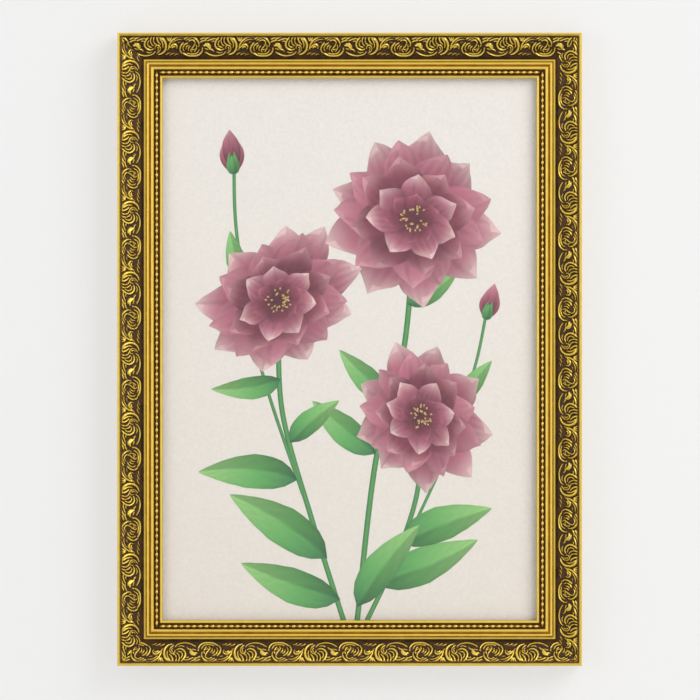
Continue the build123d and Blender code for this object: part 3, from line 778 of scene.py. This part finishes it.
def drawSpray():
    ink = {"verts": [], "faces": [], "colours": [], "luck": np.random.default_rng(printed["seed"])}
    luck = ink["luck"]
    for k, (points, half) in enumerate(stems):
        lineFilm(ink, points, half, (darkGreen, leafGreen, midGreen), 0.4 * k)
    for k, (root, heading, length, width, bend) in enumerate(leaves):
        petalFilm(ink, root, heading, length, width, bend, 0, (darkGreen, leafGreen, paleGreen),
                  2.2 + 0.4 * k, 0.0, leaf=True)
    for root, heading, length in buds:
        for spread, shades, depth in ((-15, (wine, rose, pink), 7.6), (15, (wine, rose, blush), 8.8),
                                      (0, (maroon, rose, pink), 10.0)):
            reach = length * (0.82 if spread else 1)
            petalFilm(ink, root, heading + spread, reach, length * 0.42, -spread / 120, 0.3, shades, depth, 0.0035)
        for k, spread in enumerate((-38, 38, 0)):
            petalFilm(ink, root, heading + spread, length * 0.42, length * 0.16, -spread / 60, 0,
                      (darkGreen, leafGreen), 11.2 + 0.9 * k, 0.0, leaf=True)
    for centre, size, flat, angle, turn in flowers:
        squash = (centre, flat, angle)
        for ring, (count, length, width, ripple, start, shades) in enumerate(petalRings):
            for k in range(count):
                heading = turn + start + 360 * k / count + luck.uniform(-5, 5)
                petalFilm(ink, centre, heading, length * size * luck.uniform(0.92, 1.06), width * size,
                          luck.uniform(-0.10, 0.10), ripple, shades, 7.6 + 1.1 * ring, 0.0035, squash)
        for k in range(34):  # stamens
            heading = luck.uniform(0, 360)
            reach = size * luck.uniform(2.0, 7.0)
            spot = (centre[0] + reach * math.cos(math.radians(heading)),
                    centre[1] + reach * math.sin(math.radians(heading)))
            petalFilm(ink, spot, heading, 1.5, 1.1, 0, 0, ("#C9A24A", "#F0DDA0"), 13.4 + 0.03 * k, 0.0, squash)
    return ink


def makePrint():
    ink = drawSpray()
    half = [printed["width"] / 2, printed["height"] / 2]
    corners = [(x * half[0], y * half[1]) for x, y in ((-1, -1), (1, -1), (1, 1), (-1, 1))]
    start = len(ink["verts"])
    for level in (printed["sheetFace"], printed["sheetBack"]):
        for x, y in corners:
            ink["verts"].append((x, y, level))
            # the bottom corners take the darker paper colour, painted shade
            ink["colours"].append(toLinear(printed["paperShadedLow" if y < 0 else "paperHigh"])[:3])
    ink["faces"].append([start, start + 1, start + 2, start + 3])
    ink["faces"].append([start + 7, start + 6, start + 5, start + 4])
    for k in range(4):
        n = (k + 1) % 4
        ink["faces"].append([start + k, start + 4 + k, start + 4 + n, start + n])
    flat = np.array(ink["verts"])
    verts = np.stack([flat[:, 0] * mm, backY - flat[:, 2] * mm, centreZ + flat[:, 1] * mm], 1)
    mesh = bpy.data.meshes.new("botanical print")
    mesh.from_pydata(verts.tolist(), [], ink["faces"])
    colours = mesh.color_attributes.new("ink", "FLOAT_COLOR", "POINT")
    shades = np.hstack([np.array(ink["colours"]), np.ones((len(ink["colours"]), 1))])
    colours.data.foreach_set("color", shades.astype(np.float32).ravel())
    sheet = newObject("botanical_print", mesh, inkedPaper)
    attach(sheet, "frame")
    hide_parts("art_print")
    print("print drawn", len(ink["faces"]))


def inkedPaperMaterial():  # matt art paper, its ink a little mottled like a soaked-in print
    material, tree = newMaterial("inked art paper")
    ink = addNode(tree, "ShaderNodeAttribute", {"attribute_name": "ink"}).outputs["Color"]
    coords = addNode(tree, "ShaderNodeTexCoord").outputs["Object"]
    grain = addNode(tree, "ShaderNodeTexNoise", {"Scale": 1 / (1.3 * mm), "Detail": 4.0}, {"Vector": coords})
    tone = ramp(tree, grain.outputs["Fac"], [(0.3, (0.93, 0.93, 0.93, 1)), (0.7, (1, 1, 1, 1))])
    mixed = addNode(tree, "ShaderNodeMix", {"data_type": "RGBA", "blend_type": "MULTIPLY"}, {6: ink, 7: tone})
    mixed.inputs[0].default_value = 1.0
    shader = addNode(tree, "ShaderNodeBsdfPrincipled", {"Roughness": 0.8, "Specular IOR Level": 0.2},
                     {"Base Color": mixed.outputs[2]})
    endMaterial(tree, shader.outputs[0])
    return material


inkedPaper = inkedPaperMaterial()
makePrint()

# Fittings on the back, in mm: u outwards from the sight edge, s along the stick, heights from the wood's back
fittings = {
    "screwU": 13.5, "placeShare": 0.55, "buttonLow": 0.3, "buttonThick": 1.0, "rootRadius": 3.15, "tipRadius": 1.85,
    "tipReach": 12.1, "bore": 1.03, "chamfer": 0.18, "buttonHead": 1.5, "hangerU": 11.4, "hangerHead": 1.0,
    "headRadius": 2.05, "headHeight": 0.98, "shankRadius": 0.9, "shankDepth": 4.5, "slotWidth": 0.5, "slotLength": 2.4,
    "slotDepth": 0.6, "hingeU": 15.5, "hingeHeight": 1.28, "wire": 0.69, "ringHalf": 5.0, "ringLeg": 3.0,
    "ringBend": 1.2, "sides": 48,
}
buttonNames = {
    "top": ("top_left", "top_right"), "right": ("right_upper", "right_lower"),
    "bottom": ("bottom_right", "bottom_left"), "left": ("left_lower", "left_upper"),
}


def loopSkin(bm, loops, closed):
    # quads between loops of as many points each
    rings = [[bm.verts.new(point) for point in loop] for loop in loops]
    pairs = list(zip(rings, rings[1:])) + ([(rings[-1], rings[0])] if closed else [])
    for a, b in pairs:
        for k in range(len(a)):
            n = (k + 1) % len(a)
            bm.faces.new((a[k], a[n], b[n], b[k]))
    return rings


def backPoint(side, s, u, height, aside=0.0, inwards=0.0):
    return stickPoint(side, (s + aside) * mm, (u - inwards) * mm, -height * mm)


def bmeshObject(bm, name, material):
    bmesh.ops.recalc_face_normals(bm, faces=bm.faces)
    mesh = bpy.data.meshes.new(name)
    bm.to_mesh(mesh)
    bm.free()
    return newObject(name, mesh, material)


def makeTurnButton(side, s, name):
    f = fittings
    angles = [2 * math.pi * (k + 0.5) / f["sides"] for k in range(f["sides"])]

    def outlineAt(inset):
        return [((f["tipReach"] if math.cos(a) > 0 else 0) + (radius - inset) * math.cos(a),
                 (radius - inset) * math.sin(a))
                for a in angles for radius in [f["tipRadius"] if math.cos(a) > 0 else f["rootRadius"]]]

    low, high = f["buttonLow"], f["buttonLow"] + f["buttonThick"]
    c = f["chamfer"]
    bore = [(f["bore"] * math.cos(a), f["bore"] * math.sin(a)) for a in angles]
    levels = [(bore, low), (bore, high), (outlineAt(c), high), (outlineAt(0), high - c),
              (outlineAt(0), low + c), (outlineAt(c), low)]
    bm = bmesh.new()
    loopSkin(bm, [[backPoint(side, s, f["screwU"], height, aside=y, inwards=x) for x, y in points]
                  for points, height in levels], closed=True)
    button = bmeshObject(bm, f"zinc_turn_button_{name}", zincSteel)
    finishPiece(button, [f"turn_button_{name}"], body=f"turn_button_{name}")


def screwMesh():
    # a pan head screw along Z, its cross slot cut in, standing on z = 0
    f = fittings
    dome = [(f["headRadius"], 0.0), (f["headRadius"], 0.35), (f["headRadius"] * 0.93, 0.62),
            (f["headRadius"] * 0.75, 0.83), (f["headRadius"] * 0.45, 0.95), (0.02, f["headHeight"])]
    profile = [(0.02, -f["shankDepth"]), (f["shankRadius"], -f["shankDepth"]), (f["shankRadius"], 0.0)] + dome
    sides = f["sides"] // 2
    bm = bmesh.new()
    rings = loopSkin(bm, [[(r * mm * math.cos(2 * math.pi * k / sides), r * mm * math.sin(2 * math.pi * k / sides),
                            z * mm) for k in range(sides)] for r, z in profile], closed=False)
    bm.faces.new(rings[0])
    bm.faces.new(rings[-1])
    body = bmeshObject(bm, "screw body", zincSteel)
    bm = bmesh.new()
    w, l = f["slotWidth"] / 2 * mm, f["slotLength"] / 2 * mm
    cross = [(w, w), (w, l), (-w, l), (-w, w), (-l, w), (-l, -w), (-w, -w), (-w, -l), (w, -l), (w, -w), (l, -w),
             (l, w)]
    rings = loopSkin(bm, [[(x, y, z * mm) for x, y in cross] for z in (f["headHeight"] - f["slotDepth"], 2.0)],
                     closed=False)
    bm.faces.new(rings[0])
    bm.faces.new(rings[-1])
    cutter = bmeshObject(bm, "cross cutter", zincSteel)
    cut = body.modifiers.new("cross", "BOOLEAN")
    cut.operation, cut.object, cut.solver = "DIFFERENCE", cutter, "EXACT"
    made = bpy.data.meshes.new_from_object(body.evaluated_get(bpy.context.evaluated_depsgraph_get()))
    body.modifiers.remove(cut)
    for thing in (body, cutter):
        bpy.data.objects.remove(thing)
    return made


def makeScrews(name, spots, node):
    flat = np.empty(len(screw.vertices) * 3)
    screw.vertices.foreach_get("co", flat)
    flat = flat.reshape(-1, 3)
    faces = [list(face.vertices) for face in screw.polygons]
    verts, allFaces = [], []
    for k, (side, s, u, height) in enumerate(spots):
        turn = 0.5 + 1.3 * k  # no two slots lie the same way
        outward, along = np.array(sticks[side][0]), np.array(sticks[side][1])
        base = np.array(backPoint(side, s, u, height))
        x = flat[:, :1] * math.cos(turn) - flat[:, 1:2] * math.sin(turn)
        y = flat[:, :1] * math.sin(turn) + flat[:, 1:2] * math.cos(turn)
        allFaces.extend([[v + len(verts) for v in face] for face in faces])
        verts.extend((base + x * outward + y * along - flat[:, 2:] * np.array(forward)).tolist())
    bm = bmesh.new()
    points = [bm.verts.new(vert) for vert in verts]
    for face in allFaces:
        bm.faces.new([points[v] for v in face])
    finishPiece(bmeshObject(bm, name, zincSteel), [node])


def makeRing(side):
    f = fittings
    bar = f["ringHalf"] - f["ringBend"]
    path = [(x, 0.0, 0.0, -1.0) for x in (-bar, bar)]
    for k in range(1, 9):
        a = math.pi / 2 * k / 8
        path.append((bar + f["ringBend"] * math.sin(a), f["ringBend"] * (1 - math.cos(a)), math.sin(a), -math.cos(a)))
    for k in range(33):
        a = math.pi * k / 32
        path.append((f["ringHalf"] * math.cos(a), f["ringLeg"] + f["ringHalf"] * math.sin(a), math.cos(a), math.sin(a)))
    for k in range(7, 0, -1):
        a = math.pi / 2 * k / 8
        path.append((-bar - f["ringBend"] * math.sin(a), f["ringBend"] * (1 - math.cos(a)), -math.sin(a),
                     -math.cos(a)))
    bm = bmesh.new()
    loops = []
    for s, out, ns, no in path:
        ring = []
        for k in range(16):
            a = 2 * math.pi * k / 16
            reach = f["wire"] * math.cos(a)
            ring.append(backPoint(side, s + ns * reach, f["hingeU"] + out + no * reach,
                                  f["hingeHeight"] + f["wire"] * math.sin(a)))
        loops.append(ring)
    loopSkin(bm, loops, closed=True)
    ring = bmeshObject(bm, f"brass_ring_{side}", hangerBrass)
    finishPiece(ring, [f"hanger_ring_{side}"], body=f"hanger_ring_{side}", sharpAngle=60)


screw = screwMesh()
buttonSpots, hangerSpots = [], []
for side in sticks:
    spread = sticks[side][3] / mm / 2 * fittings["placeShare"]
    for s, name in zip((-spread, spread), buttonNames[side]):
        makeTurnButton(side, s, name)
        buttonSpots.append((side, s, fittings["screwU"], fittings["buttonHead"]))
for side in ("top", "right"):
    hangerSpots.append((side, 0.0, fittings["hangerU"], fittings["hangerHead"]))
    makeRing(side)
makeScrews("button_pan_screws", buttonSpots, "button_screws")
makeScrews("hanger_pan_screws", hangerSpots, "hanger_screws")
print("fittings made")

# Carried-over CAD nodes and their finishes
finishes = {
    "glazing": clearGlass, "backing_board": hardboard, "v_nails": zincSteel,
    "wall_pads": wallFelt, "hanger_strap_top": hangerBrass, "hanger_strap_right": hangerBrass,
}
for name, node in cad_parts.items():
    material = finishes.get(name)
    if material:
        node.data.materials.clear()
        node.data.materials.append(material)

# Wall, floor, lamps and camera
studio = {
    "wallGap": 0.4 * mm, "wallSize": 1.6, "floorDrop": 40 * mm, "floorSize": 4.0, "distance": 3.0,
    "viewWidth": 375.8 * mm, "pixel": 0.5368 * mm, "wallColour": "#F3F3F3", "floorColour": "#EFEFED",
    "diffuseWorld": 0.52, "seenWorld": 0.86,
}


def stagePlane(name, corners, material):
    mesh = bpy.data.meshes.new(name)
    mesh.from_pydata([tuple(corner) for corner in corners], [], [(0, 1, 2, 3)])
    plane = newObject(name, mesh, material)


def wallMaterial(hexColour):  # matt paint, seen only from the front
    material, tree = newMaterial("matt wall paint")
    path = addNode(tree, "ShaderNodeLightPath").outputs["Is Camera Ray"]
    back = addNode(tree, "ShaderNodeNewGeometry").outputs["Backfacing"]
    front = addNode(tree, "ShaderNodeMath", {"operation": "SUBTRACT", "use_clamp": True}, {0: path, 1: back})
    lit = addNode(tree, "ShaderNodeBsdfDiffuse", {"Color": toLinear(hexColour)})
    even = addNode(tree, "ShaderNodeEmission", {"Color": toLinear(hexColour), "Strength": 0.99})
    paint = addNode(tree, "ShaderNodeMixShader", {0: 0.62}, {1: lit.outputs[0], 2: even.outputs[0]})
    clear = addNode(tree, "ShaderNodeBsdfTransparent")
    mixed = addNode(tree, "ShaderNodeMixShader", {}, {0: front.outputs[0], 1: clear.outputs[0], 2: paint.outputs[0]})
    endMaterial(tree, mixed.outputs[0])
    return material


wallY = cadBox[1][1] + studio["wallGap"]
floorZ = lowZ - studio["floorDrop"]
w, f = studio["wallSize"], studio["floorSize"]
stagePlane("wall", [(-w, wallY, floorZ), (w, wallY, floorZ), (w, wallY, floorZ + w), (-w, wallY, floorZ + w)],
           wallMaterial(studio["wallColour"]))
floorPaint = plainMaterial("matt floor", studio["floorColour"], 0.0, 0.8, 0.5, 0.01, 0.1 * mm)
stagePlane("floor", [(-f, -f, floorZ), (f, -f, floorZ), (f, f, floorZ), (-f, f, floorZ)], floorPaint)

world = bpy.data.worlds.new("pale studio")
bpy.context.scene.world = world
world.use_nodes = True
tree = world.node_tree
tree.nodes.clear()
path = addNode(tree, "ShaderNodeLightPath").outputs
seen = addNode(tree, "ShaderNodeMath", {"operation": "MAXIMUM"}, {0: path["Is Camera Ray"], 1: path["Is Glossy Ray"]})
seen = addNode(tree, "ShaderNodeMath", {"operation": "MAXIMUM"}, {0: seen.outputs[0], 1: path["Is Transmission Ray"]})
dim = addNode(tree, "ShaderNodeBackground", {"Color": (1, 1, 1, 1), "Strength": studio["diffuseWorld"]})
bright = addNode(tree, "ShaderNodeBackground", {"Color": (1, 1, 1, 1), "Strength": studio["seenWorld"]})
mixed = addNode(tree, "ShaderNodeMixShader", {}, {0: seen.outputs[0], 1: dim.outputs[0], 2: bright.outputs[0]})
addNode(tree, "ShaderNodeOutputWorld", {}, {"Surface": mixed.outputs[0]})

lamps = {  # where each soft lamp stands from the frame's centre, its width and its power
    "key from the upper right": ((1.6, -1.5, 1.35), 1.5, 34),
    "fill from the left": ((-1.6, -1.6, 0.2), 1.2, 7),
    "lamp behind": ((0.9, 1.8, 1.0), 1.0, 11),
}
for name, (place, width, power) in lamps.items():
    light = bpy.data.lights.new(name, "AREA")
    light.size = width
    light.energy = power
    lamp = bpy.data.objects.new(name, light)
    lamp.location = Vector(place) + Vector((0, 0, centreZ))
    lamp.rotation_euler = (-Vector(place)).to_track_quat("-Z", "Y").to_euler()
    bpy.context.scene.collection.objects.link(lamp)

camera = bpy.data.cameras.new("camera")
camera.lens = camera.sensor_width * studio["distance"] / studio["viewWidth"]
cameraObject = bpy.data.objects.new("camera", camera)
cameraObject.location = (0.4 * studio["pixel"], -studio["distance"], centreZ - 0.7 * studio["pixel"])
cameraObject.rotation_euler = (math.pi / 2, 0, 0)
bpy.context.scene.collection.objects.link(cameraObject)
bpy.context.scene.camera = cameraObject
bpy.context.scene.view_settings.view_transform = "Standard"
